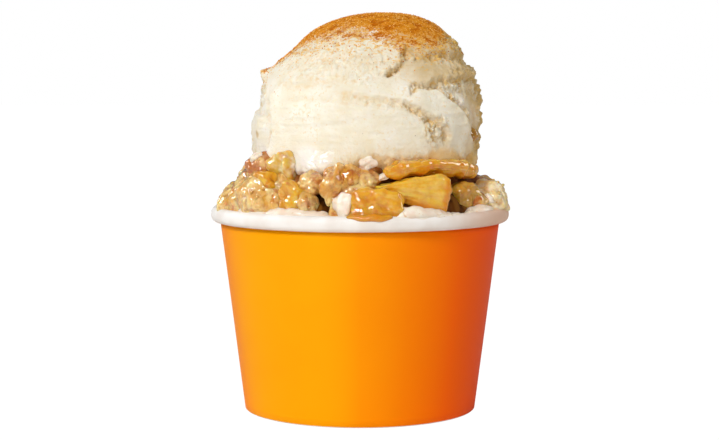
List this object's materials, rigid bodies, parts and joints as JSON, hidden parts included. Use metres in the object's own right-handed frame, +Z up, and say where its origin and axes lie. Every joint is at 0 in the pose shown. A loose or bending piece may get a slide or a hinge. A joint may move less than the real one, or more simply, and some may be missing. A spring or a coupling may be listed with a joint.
{
  "type": "apple cobbler in a paper cup",
  "caption": "Apple cobbler in a paper cup: stewed apple and browned crust heaped over the rim, under a large scoop of vanilla ice cream.",
  "frame": {"origin": "centre of the cup's foot, on the surface that it stands on", "axes": "+Z up along the cup's axis, -Y towards the front, +X to the right as seen from the front"},
  "size_m": [0.0962, 0.0962, 0.1268],
  "materials": {
    "printed_board": "orange print with a soft sheen on white coated board, bare white at the rolled lip",
    "white_board": "matt white coated board",
    "stewed_filling": "brown sugar syrup and soft crumbs, wet and glossy",
    "stewed_apple": "translucent amber fruit with a wet glaze",
    "browned_crust": "crumbly baked dough, golden with browner edges, partly glazed",
    "vanilla_ice_cream": "soft off-white ice cream with vanilla specks and a dusting of cinnamon",
    "melted_ice_cream": "wet melted ice cream"
  },
  "bodies": {
    "root": {"paper_cup": "printed_board", "cup_base": "white_board", "cobbler_filling": "stewed_filling", "melted_cream": "melted_ice_cream", "apple_slab_front": "stewed_apple", "apple_wedge_front": "stewed_apple", "apple_strip_under_scoop": "stewed_apple", "apple_chunk_left": "stewed_apple", "apple_chunk_folded": "stewed_apple", "apple_chunk_upper_left": "stewed_apple", "apple_slice_right": "stewed_apple", "apple_chunk_right_side": "stewed_apple", "apple_slice_right_side": "stewed_apple", "apple_wedge_back_right": "stewed_apple", "apple_strip_back": "stewed_apple", "apple_wedge_back_left": "stewed_apple", "apple_chunk_left_side": "stewed_apple", "crust_lump_right": "browned_crust", "crust_crumb_centre": "browned_crust", "crust_nugget_syrupy": "browned_crust", "crust_lump_centre": "browned_crust", "crust_crumb_upper": "browned_crust", "crust_crumb_front": "browned_crust", "crust_lump_left": "browned_crust", "crust_lump_left_outer": "browned_crust", "crust_lump_upper_left": "browned_crust", "crust_lump_left_back": "browned_crust", "crust_lump_back_left": "browned_crust", "crust_lump_upper_back": "browned_crust", "crust_lump_high_left_back": "browned_crust", "crust_lump_back": "browned_crust", "crust_lump_upper_right": "browned_crust", "crust_lump_right_back": "browned_crust", "crust_lump_high_right": "browned_crust", "cream_run_front": "melted_ice_cream", "ice_cream_scoop": "vanilla_ice_cream"}
  },
  "joints": []
}
